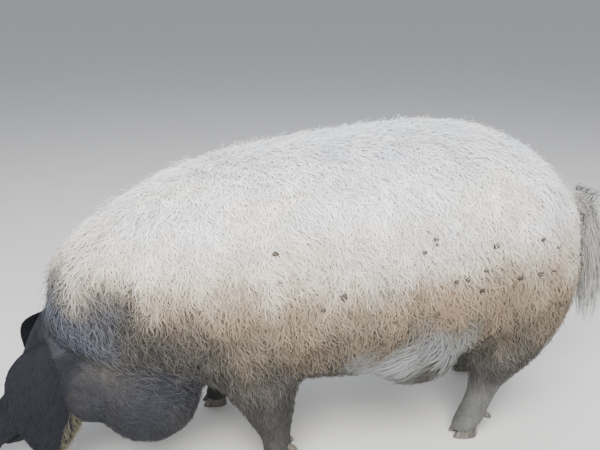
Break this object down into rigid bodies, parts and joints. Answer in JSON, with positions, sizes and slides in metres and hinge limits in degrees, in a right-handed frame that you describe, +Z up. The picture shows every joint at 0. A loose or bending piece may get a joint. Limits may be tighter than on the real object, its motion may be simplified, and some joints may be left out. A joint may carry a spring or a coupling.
{
  "type": "mangalica pig model",
  "caption": "Still, life-size curly-coated pig standing with its head down to feed, with hanging ears, full jowls, cloven claws and a tasselled tail.",
  "frame": {"origin": "on the floor under the middle of the pig, the centre of the foot of its bounding box", "axes": "+Z up; -X from the tail to the snout; -Y the pig's left side, which faces the camera"},
  "size_m": [1.5919, 0.5008, 0.7694],
  "materials": {
    "fleece": "matte",
    "face_hide": "matte",
    "leg_hide": "matte",
    "tail_hair": "matte",
    "claw": "satin",
    "eye": "gloss"
  },
  "bodies": {
    "root": {"claw_front_left_inner": "claw", "claw_front_left_outer": "claw", "claw_front_right_inner": "claw", "claw_front_right_outer": "claw", "claw_hind_left_inner": "claw", "claw_hind_left_outer": "claw", "claw_hind_right_inner": "claw", "claw_hind_right_outer": "claw", "dewclaw_front_left_inner": "claw", "dewclaw_front_left_outer": "claw", "dewclaw_front_right_inner": "claw", "dewclaw_front_right_outer": "claw", "dewclaw_hind_left_inner": "claw", "dewclaw_hind_left_outer": "claw", "dewclaw_hind_right_inner": "claw", "dewclaw_hind_right_outer": "claw", "ear_left": "face_hide", "ear_right": "face_hide", "eye_left": "eye", "eye_right": "eye", "head": "face_hide", "leg_front_left": "leg_hide", "leg_front_right": "leg_hide", "leg_hind_left": "leg_hide", "leg_hind_right": "leg_hide", "neck": "fleece", "rump": "fleece", "shoulders": "fleece", "tail": "tail_hair", "torso": "fleece"}
  },
  "joints": []
}
